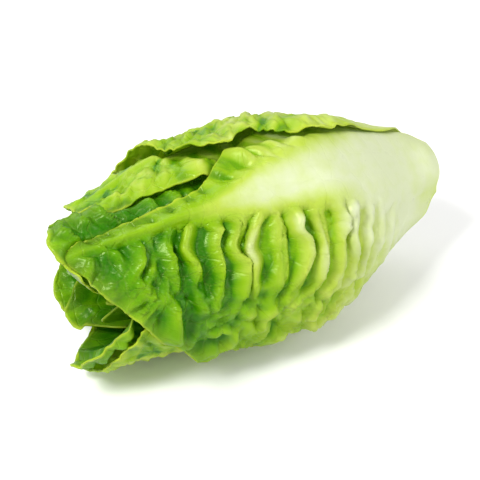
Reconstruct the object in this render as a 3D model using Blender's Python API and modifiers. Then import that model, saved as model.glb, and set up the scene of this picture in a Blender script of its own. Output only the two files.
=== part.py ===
"""Romaine lettuce head, lying on its side: a solid stem core and twenty separate leaves wrapped round it.

Metres, +Z up. The head lies along X with its cut butt at +X and its leaf tips at -X, and rests on Z = 0.
Every leaf is a thin shell. It has a thick rib along its middle and lies one small gap outside the leaves below
it, so the twenty shells nest from the heart outwards as they do in a real head.
"""

from dataclasses import dataclass

import bmesh
import bpy
import numpy as np
from mathutils import Vector

HEAD_LENGTH = 0.175      # cut butt to the common line of the leaf tips
AXIS_HEIGHT = 0.044      # middle of the head above the surface that it lies on
BUTT_X = HEAD_LENGTH / 2

# Outer radius of the head at distances from the butt: neck, belly, then the blunt leafy end.
ENVELOPE = ((0.000, 0.0160), (0.020, 0.0235), (0.035, 0.0310), (0.050, 0.0390), (0.085, 0.0500),
            (0.120, 0.0462), (0.150, 0.0415), (0.182, 0.0380))
# Radius of the stem core, from the cut face to the growing point inside the heart.
CORE = ((0.000, 0.0120), (0.003, 0.0128), (0.012, 0.0112), (0.025, 0.0075), (0.040, 0.0035), (0.048, 0.0008))

SQUARENESS = 16          # how sharply the resting side turns flat
BLADE_THICKNESS = 0.0007
RIB_REACH = 0.150        # distance from the leaf's base over which its rib thins out
CORE_CLEARANCE = 0.0006
GAP_AT_CORE = 0.0005     # space between one leaf and the next, which grows with the radius
GAP_GROWTH = 0.023
END_ROUNDNESS = 1.8      # power that bends the leaf's end from its tip to its margins
END_DROP = 0.24          # how much shorter a leaf is at its margins than along its rib

FOOT_MARGIN = 0.0025     # a leaf holds the next one off from this far before its foot
SIDE_MARGIN = 1.18       # and out to this share of its half width
TIP_MARGIN = 1.08        # and out to this share of its length
FOOT_ROWS = 1.5          # how much closer together the quads are at the foot than at the tip

STATIONS = np.linspace(0.0, 0.190, 77)            # distances from the butt where the nesting is worked out
BEARINGS = np.radians(np.arange(0.0, 360.0, 5.0))  # angles round the head, 0 towards -Y and 90 degrees up

GOLDEN_ANGLE = 137.5


@dataclass(frozen=True)
class Leaf:
    """One leaf: where it sits round the head, how far it reaches, and how far out it lies."""

    name: str
    bearing: float      # degrees, where the rib lies
    below: float        # degrees from rib to margin, towards smaller bearings
    above: float        # degrees from rib to margin, towards larger bearings
    base: float         # distance of its foot from the butt
    tip: float          # distance of its tip from the butt
    lie: float          # share of the head's outer radius that it lies at
    rib: float          # thickness of the rib at its foot
    across: int         # quads across the leaf
    along: int          # quads along the leaf


WRAPPERS = (
    Leaf("wrapper_leaf_front_low", 335, 76, 66, 0.0100, 0.182, 0.80, 0.0024, 12, 10),
    Leaf("wrapper_leaf_back_low", 222, 70, 72, 0.0085, 0.173, 0.84, 0.0024, 11, 10),
    Leaf("wrapper_leaf_top_inner", 72, 42, 46, 0.0072, 0.187, 0.87, 0.0024, 10, 10),
    Leaf("wrapper_leaf_top_outer", 116, 38, 62, 0.0060, 0.170, 0.90, 0.0026, 10, 10),
    Leaf("wrapper_leaf_under", 285, 78, 82, 0.0048, 0.179, 0.94, 0.0028, 13, 10),
    Leaf("wrapper_leaf_front", 54, 92, 44, 0.0036, 0.184, 0.97, 0.0032, 13, 11),
    Leaf("wrapper_leaf_back", 166, 88, 84, 0.0024, 0.157, 1.00, 0.0032, 14, 10),
)


def inner_leaves(kind, count, first_bearing, lies, bases, tips, half_width, rib, across, along):
    """A run of leaves that follow the golden angle, each lying a little further out than the last."""
    made = []
    for i in range(count):
        share = i / (count - 1)
        made.append(Leaf(
            f"{kind}_leaf_{i + 1}", (first_bearing + GOLDEN_ANGLE * i) % 360, half_width, half_width,
            bases[0] + (bases[1] - bases[0]) * share, tips[0] + (tips[1] - tips[0]) * share,
            lies[0] + (lies[1] - lies[0]) * share, rib, across, along))
    return made


LEAVES = (
    *inner_leaves("heart", 6, 20, (0.14, 0.38), (0.036, 0.024), (0.128, 0.146), 84, 0.0012, 8, 8),
    *inner_leaves("middle", 7, 140, (0.44, 0.74), (0.021, 0.012), (0.150, 0.166), 78, 0.0020, 10, 9),
    *WRAPPERS,
)


def spline(points, x):
    """Smooth monotone curve through a few (x, y) points, at every value in x."""
    xs, ys = np.array(points).T
    slopes = np.diff(ys) / np.diff(xs)
    tangents = np.concatenate([[slopes[0]], np.zeros(len(xs) - 2), [slopes[-1]]])
    rising = slopes[:-1] * slopes[1:] > 0
    mean = np.where(rising, 2 * slopes[:-1] * slopes[1:] / np.where(rising, slopes[:-1] + slopes[1:], 1), 0)
    tangents[1:-1] = mean
    x = np.clip(x, xs[0], xs[-1])
    i = np.clip(np.searchsorted(xs, x) - 1, 0, len(xs) - 2)
    h = xs[i + 1] - xs[i]
    t = (x - xs[i]) / h
    return ((1 + 2 * t) * (1 - t) ** 2 * ys[i] + t * (1 - t) ** 2 * h * tangents[i]
            + t * t * (3 - 2 * t) * ys[i + 1] + t * t * (t - 1) * h * tangents[i + 1])


def flattening(distance, bearing):
    """How much the radius shrinks where the head rests, so that its underside is flat."""
    downward = np.maximum(-np.sin(bearing), 0.0)
    limit = AXIS_HEIGHT / spline(ENVELOPE, distance)
    return (1 + (downward / limit) ** SQUARENESS) ** (-1 / SQUARENESS)


def width_share(v):
    """Width of a leaf along its length, from its clasping foot to its broad end, as a share of the full width."""
    return spline(((0.0, 0.46), (0.10, 0.74), (0.25, 0.96), (0.5, 1.0), (0.8, 0.97), (1.0, 0.86)), v)


def leaf_distance(leaf, u, v):
    """Distance from the butt at a place on the leaf: u is -1 to 1 across it, v is 0 to 1 along it."""
    return leaf.base + v * (leaf.tip - leaf.base) * (1 - END_DROP * np.abs(u) ** END_ROUNDNESS)


def leaf_bearing(leaf, u, v):
    """Angle round the head at a place on the leaf, in radians."""
    side = np.where(u < 0, leaf.below, leaf.above)
    return np.radians(leaf.bearing + u * side * width_share(v))


def rib_share(leaf, u, v):
    """Height of the rib at a place on the leaf: 1 at the middle of its foot, 0 on the blade."""
    distance = leaf_distance(leaf, u, v) - leaf.base
    side = np.where(u < 0, leaf.below, leaf.above)
    angle = np.abs(u) * side * width_share(v)
    half_angle = spline(((0.0, 44.0), (0.05, 34.0), (0.09, 18.0), (0.16, 8.0)), distance)
    hump = np.clip(1 - (angle / half_angle) ** 2, 0, 1)
    return hump * np.clip(1 - distance / RIB_REACH, 0, 1) ** 0.8


def thickness(leaf, u, v):
    """Thickness of the leaf at a place on it."""
    return BLADE_THICKNESS + (leaf.rib - BLADE_THICKNESS) * rib_share(leaf, u, v)


def neighbours(values):
    """The grid and its copies moved one cell each way; it closes round the head and stops at its two ends."""
    return [values, np.roll(values, 1, 1), np.roll(values, -1, 1),
            np.vstack([values[:1], values[:-1]]), np.vstack([values[1:], values[-1:]])]


def blurred(values):
    """The grid smoothed over a few cells."""
    for _ in range(4):
        values = sum(neighbours(values)) / 5
    return values


def eased(values):
    """A smooth surface that nowhere lies below values: where smoothing sinks it, it is raised softly again."""
    soft = blurred(values)
    lack = np.maximum(values - soft, 0)
    for _ in range(2):
        lack = np.maximum.reduce(neighbours(lack))
    return np.maximum(soft + blurred(lack), values)


def place_on(leaf, distance, bearing):
    """(u, v) of a place round the head on this leaf. Values past 1 are off the leaf."""
    turn = (np.degrees(bearing) - leaf.bearing + 180) % 360 - 180
    side = np.where(turn < 0, leaf.below, leaf.above)
    u, v = turn / side, np.zeros_like(turn)
    for _ in range(3):
        reach = (leaf.tip - leaf.base) * (1 - END_DROP * np.minimum(np.abs(u), 1) ** END_ROUNDNESS)
        v = (distance - leaf.base) / reach
        u = turn / (side * width_share(np.clip(v, 0, 1)))
    return u, v


def nest(leaves):
    """For each leaf from the heart outwards, the radius of its inner face on the grid of stations and bearings."""
    distance, bearing = np.meshgrid(STATIONS, BEARINGS, indexing="ij")
    filled = np.where(distance < CORE[-1][0], spline(CORE, distance) + CORE_CLEARANCE, 0.0)
    faces = {}
    for leaf in leaves:
        gap = GAP_AT_CORE + GAP_GROWTH * filled
        face = eased(np.maximum(filled + gap, leaf.lie * spline(ENVELOPE, distance)))
        u, v = place_on(leaf, distance, bearing)
        on_leaf = (np.abs(u) < SIDE_MARGIN) & (distance > leaf.base - FOOT_MARGIN) & (v < TIP_MARGIN)
        top = face + thickness(leaf, np.clip(u, -1, 1), np.clip(v, 0, 1))
        filled = np.where(on_leaf, top, filled)
        faces[leaf.name] = face
    return faces


def read_grid(values, distance, bearing):
    """The value on the grid at any distance and bearing, between its four nearest points."""
    row = np.clip(distance / (STATIONS[1] - STATIONS[0]), 0, len(STATIONS) - 1.001)
    column = (bearing / (BEARINGS[1] - BEARINGS[0])) % len(BEARINGS)
    i, j = row.astype(int), column.astype(int)
    a, b = row - i, column - j
    k = (j + 1) % len(BEARINGS)
    near = values[i, j] * (1 - b) + values[i, k] * b
    far = values[i + 1, j] * (1 - b) + values[i + 1, k] * b
    return near * (1 - a) + far * a


def place(distance, bearing, radius):
    """Points in the row frame at a distance from the butt, an angle round the head and a radius."""
    flat = radius * flattening(distance, bearing)
    return np.stack([BUTT_X - distance, -flat * np.cos(bearing), AXIS_HEIGHT + flat * np.sin(bearing)], -1)


def plain_material(name, colour, roughness):
    """A simple material of one colour."""
    material = bpy.data.materials.new(name)
    material.use_nodes = True
    shader = material.node_tree.nodes["Principled BSDF"]
    shader.inputs["Base Color"].default_value = (*colour, 1.0)
    shader.inputs["Roughness"].default_value = roughness
    shader.inputs["Metallic"].default_value = 0.0
    return material


def add_object(name, mesh, material, collection):
    """An object with its material, in the head's collection."""
    mesh.materials.append(material)
    made = bpy.data.objects.new(name, mesh)
    collection.objects.link(made)
    return made


def make_leaf(leaf, face, material, collection):
    """One leaf: a flat grid bent onto its place in the head, then given its thickness outwards."""
    shape = bmesh.new()
    bmesh.ops.create_grid(shape, x_segments=leaf.across, y_segments=leaf.along, size=1.0)
    shape.verts.ensure_lookup_table()
    flat = np.array([vert.co for vert in shape.verts])
    u, v = flat[:, 0], ((flat[:, 1] + 1) / 2) ** FOOT_ROWS
    distance, bearing = leaf_distance(leaf, u, v), leaf_bearing(leaf, u, v)
    points = place(distance, bearing, read_grid(face, distance, bearing))
    for vert, point in zip(shape.verts, points):
        vert.co = point
    shape.normal_update()
    middle = min(shape.faces, key=lambda f: abs(f.calc_center_median().x - (BUTT_X - (leaf.base + leaf.tip) / 2)))
    centre = middle.calc_center_median()
    if middle.normal.y * centre.y + middle.normal.z * (centre.z - AXIS_HEIGHT) < 0:
        bmesh.ops.reverse_faces(shape, faces=shape.faces)
    mesh = bpy.data.meshes.new(leaf.name)
    shape.to_mesh(mesh)
    shape.free()
    mesh.shade_smooth()
    made = add_object(leaf.name, mesh, material, collection)
    group = made.vertex_groups.new(name="thickness")
    for index, depth in enumerate(thickness(leaf, u, v)):
        group.add([index], float(depth / leaf.rib), "REPLACE")
    solid = made.modifiers.new("thickness", "SOLIDIFY")
    solid.thickness = leaf.rib
    solid.offset = 1.0
    solid.vertex_group = group.name
    return made


def make_core(material, collection):
    """The stem core: a turned solid with a flat cut face, which tapers to the growing point in the heart."""
    profile = [(0.0, 0.0), *CORE[:-1], (CORE[-1][0], 0.0)]
    mesh = bpy.data.meshes.new("stem_core")
    points = [(BUTT_X - distance, 0.0, radius) for distance, radius in profile]
    mesh.from_pydata(points, [(i, i + 1) for i in range(len(points) - 1)], [])
    core = add_object("stem_core", mesh, material, collection)
    core.location.z = AXIS_HEIGHT
    turned = core.modifiers.new("turned", "SCREW")
    turned.axis = "X"
    turned.steps = turned.render_steps = 20
    turned.use_merge_vertices = True
    turned.merge_threshold = 0.00005
    turned.use_normal_calculate = True
    return core


def set_down(objects):
    """Moves the whole head so that the middle of the underside of its box is at the origin."""
    graph = bpy.context.evaluated_depsgraph_get()
    corners = []
    for made in objects:
        solid = made.evaluated_get(graph)
        corners += [solid.matrix_world @ vert.co for vert in solid.to_mesh().vertices]
        solid.to_mesh_clear()
    low = Vector([min(corner[axis] for corner in corners) for axis in range(3)])
    high = Vector([max(corner[axis] for corner in corners) for axis in range(3)])
    for made in objects:
        made.location -= Vector(((low.x + high.x) / 2, (low.y + high.y) / 2, low.z))


def main():
    """Clears the scene and builds the lettuce head."""
    for old in list(bpy.data.objects):
        bpy.data.objects.remove(old)
    collection = bpy.data.collections.new("romaine_lettuce_head")
    bpy.context.scene.collection.children.link(collection)
    materials = {
        "wrapper": plain_material("wrapper_leaf", (0.28, 0.50, 0.07), 0.42),
        "middle": plain_material("middle_leaf", (0.38, 0.60, 0.09), 0.42),
        "heart": plain_material("heart_leaf", (0.62, 0.74, 0.20), 0.42),
        "stem": plain_material("stem", (0.84, 0.86, 0.62), 0.50),
    }
    make_core(materials["stem"], collection)
    faces = nest(LEAVES)
    for leaf in LEAVES:
        make_leaf(leaf, faces[leaf.name], materials[leaf.name.split("_")[0]], collection)
    set_down(list(collection.objects))


main()
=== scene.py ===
"""The looks of a romaine lettuce head that lies on its side.

Metres, +Z up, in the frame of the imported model. The head lies along X, with its cut butt at +X and its leaf
tips at -X. A place on the head is given by its distance from the butt, its bearing round the head (0 towards
-Y, and a quarter turn up) and its radius. Every leaf is nested outside the ones below it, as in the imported
model, then gets its pleats, blisters and rib, and its frilled and turned margins.
"""

from __future__ import annotations

import logging
import math
from dataclasses import dataclass, field
from enum import Enum

import bmesh
import bpy
import numpy as np
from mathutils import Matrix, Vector

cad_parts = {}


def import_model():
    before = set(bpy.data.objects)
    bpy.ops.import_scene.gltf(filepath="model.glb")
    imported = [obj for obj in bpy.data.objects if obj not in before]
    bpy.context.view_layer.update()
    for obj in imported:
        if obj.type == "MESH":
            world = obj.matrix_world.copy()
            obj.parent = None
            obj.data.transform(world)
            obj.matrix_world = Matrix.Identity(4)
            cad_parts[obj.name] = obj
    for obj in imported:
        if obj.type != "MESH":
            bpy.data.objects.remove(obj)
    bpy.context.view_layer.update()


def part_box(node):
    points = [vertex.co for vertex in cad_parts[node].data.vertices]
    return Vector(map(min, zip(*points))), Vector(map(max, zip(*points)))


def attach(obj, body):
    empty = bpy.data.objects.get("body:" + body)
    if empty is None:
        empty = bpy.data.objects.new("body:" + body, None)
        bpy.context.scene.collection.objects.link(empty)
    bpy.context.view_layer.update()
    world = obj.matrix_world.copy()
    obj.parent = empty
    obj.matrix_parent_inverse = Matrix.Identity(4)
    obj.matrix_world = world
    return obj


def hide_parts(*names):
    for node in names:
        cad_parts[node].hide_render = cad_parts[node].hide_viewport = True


LOG = logging.getLogger("romaine_lettuce_head")

Grid = np.ndarray
Points = tuple[tuple[float, float], ...]

# Outer radius of the head at distances from the butt, and of the stem core inside it.
ENVELOPE: Points = (
    (0.000, 0.0158), (0.020, 0.0230), (0.035, 0.0300), (0.050, 0.0368), (0.085, 0.0453),
    (0.120, 0.0425), (0.150, 0.0390), (0.182, 0.0360))
CORE: Points = (
    (0.000, 0.0120), (0.003, 0.0128), (0.012, 0.0112), (0.025, 0.0075), (0.040, 0.0035), (0.048, 0.0008))
# Width of a leaf from its foot on, as a share of its full width.
FOOT: Points = ((0.0, 0.60), (0.08, 0.82), (0.22, 0.97), (0.5, 1.0))
# Degrees from the middle of a broad leaf's rib to its edges, at distances from the butt.
RIB_BELOW: Points = (
    (0.0, 40), (0.030, 30), (0.050, 22), (0.070, 15), (0.090, 11), (0.120, 5), (0.150, 1.5))
RIB_ABOVE: Points = ((0.0, 26), (0.045, 23), (0.070, 17), (0.090, 12), (0.120, 5), (0.150, 1.5))
BROAD = 80                # degrees from rib to margin of a broad leaf
# Degrees from the middle of the rib to where the leaf is down to its blade, at distances from its foot.
THICK_PART: Points = ((0.0, 44.0), (0.05, 34.0), (0.09, 18.0), (0.16, 8.0))

LONGEST = 0.196           # the grid for the nesting runs this far from the butt
SQUARENESS = 16           # how sharply the resting side turns flat
BLADE_THICKNESS = 0.0007
RIB_REACH = 0.150         # distance from a leaf's base over which its rib thins out
CORE_CLEARANCE = 0.0006
GAP_AT_CORE = 0.0005      # room between two leaves next to the core
GAP_GROWTH = 0.023        # how much more room they have for each metre further out
OVERLAP = 1.08            # the nesting keeps this share of a leaf's width free
DRAW_IN = 0.75            # how much harder the inner leaves' tips are drawn in than their feet
DRAW_IN_OVER = (0.105, 0.185)      # distances from the butt over which that sets in
FLOOR_CLEARANCE = 0.0002
FLOOR_SPREAD = 0.15       # share of their height that low places keep above the floor's clearance
GOLDEN_ANGLE = 137.5
UV_SPAN = 0.2             # a leaf's UV map shows this many metres each way

PLEAT_PITCH = 0.0092      # distance from one tall fold to the next
PLEATS_END = (0.020, 0.040)        # distances past the rib over which pleats turn into blisters
BLISTERED_TIP = (0.060, 0.022)     # distances from the tip over which they do so too
PLEATS_GROW = (0.012, 0.095)       # distances from the butt over which the relief rises to its full height
RIB_LEVEL = (0.72, 0.22)  # level of the rib among the pleats, and how far it sinks by where it ends
RIB_SINKS = (0.10, 0.14)  # distances from the butt over which it sinks
CALM_MARGIN = 0.007       # the relief is lower this close to a margin
FINE_HEIGHT = 0.0010      # heights of the smallest relief
WRINKLE_HEIGHT = 0.0013
KEEL_HEIGHT = 0.0008      # the rounded back of the rib
LINE_HEIGHT = 0.0011      # the thin vein that the rib ends in
LINE_WIDTH = 0.0013
NARROWEST = 0.004         # keeps the strips of very narrow places within bounds
WIDEST_STRIP = 0.4        # largest share of the half width that turns back
STEP = 0.002              # step in u and v over which the slope of a leaf is measured


class Kind(Enum):
    """The three sorts of leaf, which is also the record's name for their finish."""

    HEART = "heart_leaf"
    MIDDLE = "middle_leaf"
    WRAPPER = "wrapper_leaf"


def spline(points: Points, x: Grid) -> Grid:
    """Smooth monotone curve through a few points.

    Args:
        points: (x, y) pairs in rising x.
        x: where to read the curve. It stays level past its ends.

    Returns:
        The curve's value at every x.
    """
    xs, ys = np.array(points).T
    slopes = np.diff(ys) / np.diff(xs)
    tangents = np.concatenate([[slopes[0]], np.zeros(len(xs) - 2), [slopes[-1]]])
    rising = slopes[:-1] * slopes[1:] > 0
    mean = np.where(rising, 2 * slopes[:-1] * slopes[1:] / np.where(rising, slopes[:-1] + slopes[1:], 1), 0)
    tangents[1:-1] = mean
    x = np.clip(x, xs[0], xs[-1])
    i = np.clip(np.searchsorted(xs, x) - 1, 0, len(xs) - 2)
    h = xs[i + 1] - xs[i]
    t = (x - xs[i]) / h
    return ((1 + 2 * t) * (1 - t) ** 2 * ys[i] + t * (1 - t) ** 2 * h * tangents[i]
            + t * t * (3 - 2 * t) * ys[i + 1] + t * t * (t - 1) * h * tangents[i + 1])


def ramp(x: Grid, low: Grid | float, high: Grid | float) -> Grid:
    """Rises smoothly from 0 at low to 1 at high, or falls where low is the larger."""
    t = np.clip((x - low) / (high - low), 0.0, 1.0)
    return t * t * (3 - 2 * t)


def random_at(i: Grid, j: Grid, seed: int) -> Grid:
    """One repeatable random number, 0 to 1, for each whole-number place (i, j)."""
    mixed = (i * 374761393 + j * 668265263 + seed * 974634777) & 0xFFFFFFFF
    mixed = ((mixed ^ (mixed >> 13)) * 1274126177) & 0xFFFFFFFF
    return (mixed ^ (mixed >> 16)) / 0xFFFFFFFF


def drift(x: Grid, y: Grid, seed: int) -> Grid:
    """Smooth random hills and hollows about one unit across.

    Args:
        x, y: places, in units of the size of the hills.
        seed: picks one of many patterns.

    Returns:
        Heights from about -1 to 1.
    """
    i, j = np.floor(x).astype(np.int64), np.floor(y).astype(np.int64)
    total = np.zeros(np.broadcast(x, y).shape)
    for di in (0, 1):
        for dj in (0, 1):
            turn = 2 * np.pi * random_at(i + di, j + dj, seed)
            dx, dy = x - i - di, y - j - dj
            near_x, near_y = 1 - np.abs(dx), 1 - np.abs(dy)
            weight = near_x ** 2 * (3 - 2 * near_x) * near_y ** 2 * (3 - 2 * near_y)
            total = total + weight * (np.cos(turn) * dx + np.sin(turn) * dy)
    return 1.7 * total


def ridges(x: Grid, y: Grid, sharpness: float, power: float, seed: int) -> Grid:
    """Thin random ridges about one unit apart.

    Args:
        x, y: places, in units of the distance between ridges.
        sharpness: how narrow they are.
        power: bends their flanks in.
        seed: picks one of many patterns.

    Returns:
        1 on a crest, 0 between them.
    """
    return np.clip(1 - sharpness * np.abs(drift(x, y, seed)), 0, 1) ** power


def placed(name: str, data: bpy.types.ID) -> bpy.types.Object:
    """A new object, put into the scene."""
    made = bpy.data.objects.new(name, data)
    bpy.context.scene.collection.objects.link(made)
    return made


def as_mesh(shape: bmesh.types.BMesh, name: str) -> bpy.types.Mesh:
    """A mesh made of a finished shape, which is then freed."""
    mesh = bpy.data.meshes.new(name)
    shape.to_mesh(mesh)
    shape.free()
    return mesh


@dataclass(frozen=True)
class Margin:
    """How the free edge of a leaf stands: turned back over a strip, and frilled."""

    strip: float = 0.004        # widest strip that turns back
    radius: float = 0.005       # radius that it turns on
    spell: float = 0.030        # length along the edge of one turned stretch
    share: float = 0.0          # 1 turns back all along, 0 half of the time, -1 nowhere
    frill: float = 0.0020       # height of the frill
    pitch: float = 0.016        # length of one wave of the frill
    lobe: float = 0.0020        # how far the outline swings in and out


@dataclass(frozen=True)
class Leaf:
    """One leaf: where it sits in the head, its outline, its relief and its colours."""

    name: str
    kind: Kind
    bearing: float              # degrees, where the rib lies
    below: float                # degrees from rib to margin, towards smaller bearings
    above: float                # degrees from rib to margin, towards larger bearings
    base: float                 # distance of its foot from the butt
    tip: float                  # distance of its tip from the butt
    lie: float                  # share of the head's outer radius that it lies at
    rib: float                  # thickness of the rib at its foot
    across: int                 # quads across the leaf
    along: int                  # quads along the leaf
    seed: int
    drop_below: float = 0.24    # how much shorter it is at its lower margin than along the rib
    drop_above: float = 0.24
    roundness: float = 1.8      # power that bends the end from the tip to the margins
    end_below: Points = ((0.8, 0.97), (1.0, 0.86))    # width near the end as a share of the full width
    end_above: Points = ((0.8, 0.97), (1.0, 0.86))
    slant_below: float = 0.30   # how far the pleats run towards the tip on their way from the rib
    slant_above: float = 0.30
    calm_above: float = 1.0     # share of the relief's height on the side above the rib
    pleat: float = 0.0030       # height of the pleats beside the rib
    blister: float = 0.0018     # height of the blisters near the margin
    fold: float = 0.0016        # height of the slow folds of the whole blade
    flare: float = 0.0          # how far the tip stands out from the head
    green: tuple[float, float] = (0.030, 0.130)   # distances over which it turns from cream to green
    lower: Margin = field(default_factory=Margin)
    upper: Margin = field(default_factory=Margin)
    end: Margin = field(default_factory=lambda: Margin(share=-0.4))

    def side(self, u: Grid, v: Grid) -> Grid:
        """Degrees from the rib to the margin, at places across (u) and along (v) the leaf."""
        low = self.below * spline((*FOOT, *self.end_below), v)
        high = self.above * spline((*FOOT, *self.end_above), v)
        return np.where(u < 0, low, high)

    def reach(self, u: Grid) -> Grid:
        """Length of the leaf from its foot to its end, along a line at u across it."""
        drop = np.where(u < 0, self.drop_below, self.drop_above)
        return (self.tip - self.base) * (1 - drop * np.minimum(np.abs(u), 1.2) ** self.roundness)

    def distance(self, u: Grid, v: Grid) -> Grid:
        """Distance from the butt at places across (u, -1 to 1) and along (v, 0 to 1) the leaf."""
        return self.base + v * self.reach(u)

    def turn(self, u: Grid, v: Grid) -> Grid:
        """Degrees round the head from the rib to a place on the leaf."""
        return u * self.side(u, v)

    def find(self, distance: Grid, bearing: Grid) -> tuple[Grid, Grid]:
        """The (u, v) of places round the head. Values past 1 are off the leaf."""
        turn = (np.degrees(bearing) - self.bearing + 180) % 360 - 180
        u, v = turn / self.below, np.zeros_like(turn)
        for _ in range(4):
            v = (distance - self.base) / self.reach(u)
            u = turn / self.side(turn, np.clip(v, 0, 1))
        return u, v

    def rib_width(self, u: Grid, distance: Grid) -> Grid:
        """Degrees from the middle of the rib to its edge, on the side of u."""
        wide = np.where(u < 0, spline(RIB_BELOW, distance), spline(RIB_ABOVE, distance))
        return wide * min(1.0, self.below / BROAD)

    def thickness(self, u: Grid, v: Grid) -> Grid:
        """Thickness of the leaf, with its rib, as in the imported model."""
        distance = self.distance(u, v) - self.base
        round_back = np.clip(1 - (self.turn(u, v) / spline(THICK_PART, distance)) ** 2, 0, 1)
        hump = round_back * np.clip(1 - distance / RIB_REACH, 0, 1) ** 0.8
        return BLADE_THICKNESS + (self.rib - BLADE_THICKNESS) * hump


FRONT = Leaf(
    "wrapper_leaf_front", Kind.WRAPPER, 54, 92, 40, 0.0022, 0.187, 0.97, 0.0032, 180, 250, 11,
    drop_below=0.26, drop_above=0.06, roundness=1.25, end_below=((0.8, 1.0), (1.0, 0.95)),
    end_above=((0.51, 0.93), (0.61, 0.68), (0.73, 0.30), (1.0, 0.18)), slant_above=0.6, calm_above=0.42,
    flare=0.0010, pleat=0.0059, blister=0.0058, fold=0.0028, green=(0.034, 0.176),
    lower=Margin(strip=0.005, radius=0.004, share=-0.3, frill=0.0020, pitch=0.015, lobe=0.0016),
    upper=Margin(strip=0.003, share=-0.6, frill=0.0008, pitch=0.018, lobe=0.0010))
BACK = Leaf(
    "wrapper_leaf_back", Kind.WRAPPER, 166, 90, 86, 0.0024, 0.140, 1.00, 0.0032, 168, 210, 23,
    drop_below=0.15, drop_above=0.20, roundness=1.2, pleat=0.0034, blister=0.0026, fold=0.0012,
    green=(0.020, 0.210),
    lower=Margin(strip=0.011, radius=0.0036, spell=0.016, share=0.15, frill=0.0024, pitch=0.014, lobe=0.0150),
    end=Margin(strip=0.006, share=-0.2, frill=0.002))
UNDER = Leaf(
    "wrapper_leaf_under", Kind.WRAPPER, 285, 78, 84, 0.0048, 0.181, 0.94, 0.0028, 150, 190, 37,
    drop_below=0.24, drop_above=0.10, roundness=1.3, pleat=0.0020, blister=0.0014, green=(0.040, 0.240),
    upper=Margin(strip=0.004, share=-0.8, frill=0.0008, lobe=0.0010), end=Margin(share=-0.8, frill=0.0008))
TOP_OUTER = Leaf(
    "wrapper_leaf_top_outer", Kind.WRAPPER, 112, 42, 66, 0.0060, 0.168, 0.92, 0.0026, 120, 200, 41,
    drop_below=0.04, drop_above=0.12, roundness=3.0, end_below=((0.8, 0.88), (1.0, 0.82)), flare=-0.0045,
    pleat=0.0026, blister=0.0024, fold=0.0018, green=(-0.010, 0.220),
    lower=Margin(strip=0.005, radius=0.0045, spell=0.05, share=-0.4, frill=0.0006, pitch=0.030, lobe=0.0016),
    end=Margin(strip=0.005, share=-0.5, frill=0.0010))
TOP_INNER = Leaf(
    "wrapper_leaf_top_inner", Kind.WRAPPER, 61, 44, 28, 0.0072, 0.190, 0.91, 0.0024, 120, 210, 53,
    drop_below=0.10, drop_above=0.03, roundness=1.6, end_above=((0.8, 0.95), (1.0, 0.70)), flare=0.004,
    pleat=0.0044, blister=0.0054, fold=0.0034, green=(0.000, 0.150),
    upper=Margin(strip=0.008, radius=0.0036, share=1.0, frill=0.0010, pitch=0.030, lobe=0.0010))
BACK_LOW = Leaf(
    "wrapper_leaf_back_low", Kind.WRAPPER, 222, 70, 72, 0.0085, 0.174, 0.86, 0.0024, 130, 190, 67,
    pleat=0.0030, blister=0.0040, fold=0.0030, green=(0.000, 0.140),
    end=Margin(strip=0.007, share=0.1, frill=0.0022))
FRONT_LOW = Leaf(
    "wrapper_leaf_front_low", Kind.WRAPPER, 316, 74, 70, 0.0100, 0.187, 0.84, 0.0024, 130, 200, 71,
    drop_below=0.16, drop_above=0.20, roundness=1.5, pleat=0.0030, blister=0.0044, fold=0.0030,
    green=(0.000, 0.130), end=Margin(strip=0.006, share=-0.7, frill=0.0014))


def inner_leaves(kind: Kind, count: int, first_bearing: float, lies: tuple[float, float],
                 bases: tuple[float, float], tips: tuple[float, float], half_width: float, rib: float,
                 across: int, along: int, green: tuple[float, float]) -> list[Leaf]:
    """A run of leaves that follow the golden angle, each lying a little further out than the last.

    Args:
        kind: the sort of leaf.
        count: how many.
        first_bearing: bearing of the innermost one, in degrees.
        lies, bases, tips: the innermost and the outermost leaf's share of the radius, foot and tip.
        half_width: degrees from rib to margin.
        rib: thickness of the rib at the foot.
        across, along: quads each way.
        green: distances over which each turns from cream to green.

    Returns:
        The leaves, from the heart outwards.
    """
    made = []
    end = Margin(strip=0.006, share=0.3, frill=0.0022)
    for i in range(count):
        base, tip, lie = (pair[0] + (pair[1] - pair[0]) * (i / (count - 1)) for pair in (bases, tips, lies))
        made.append(Leaf(
            f"{kind.value}_{i + 1}", kind, (first_bearing + GOLDEN_ANGLE * i) % 360, half_width, half_width,
            base, tip, lie, rib, across, along, 100 + 7 * i + count,
            pleat=0.0016, blister=0.0022, fold=0.0024, green=green, end=end))
    return made


HEART_LEAVES = inner_leaves(Kind.HEART, 6, 20, (0.14, 0.38), (0.036, 0.024), (0.138, 0.155), 84, 0.0012,
                            48, 70, (0.040, 0.330))
MIDDLE_LEAVES = inner_leaves(Kind.MIDDLE, 7, 140, (0.44, 0.74), (0.021, 0.012), (0.159, 0.175), 78, 0.0020,
                             96, 130, (0.000, 0.155))
LEAVES = (*HEART_LEAVES, *MIDDLE_LEAVES, FRONT_LOW, BACK_LOW, TOP_INNER, TOP_OUTER, UNDER, FRONT, BACK)


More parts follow.
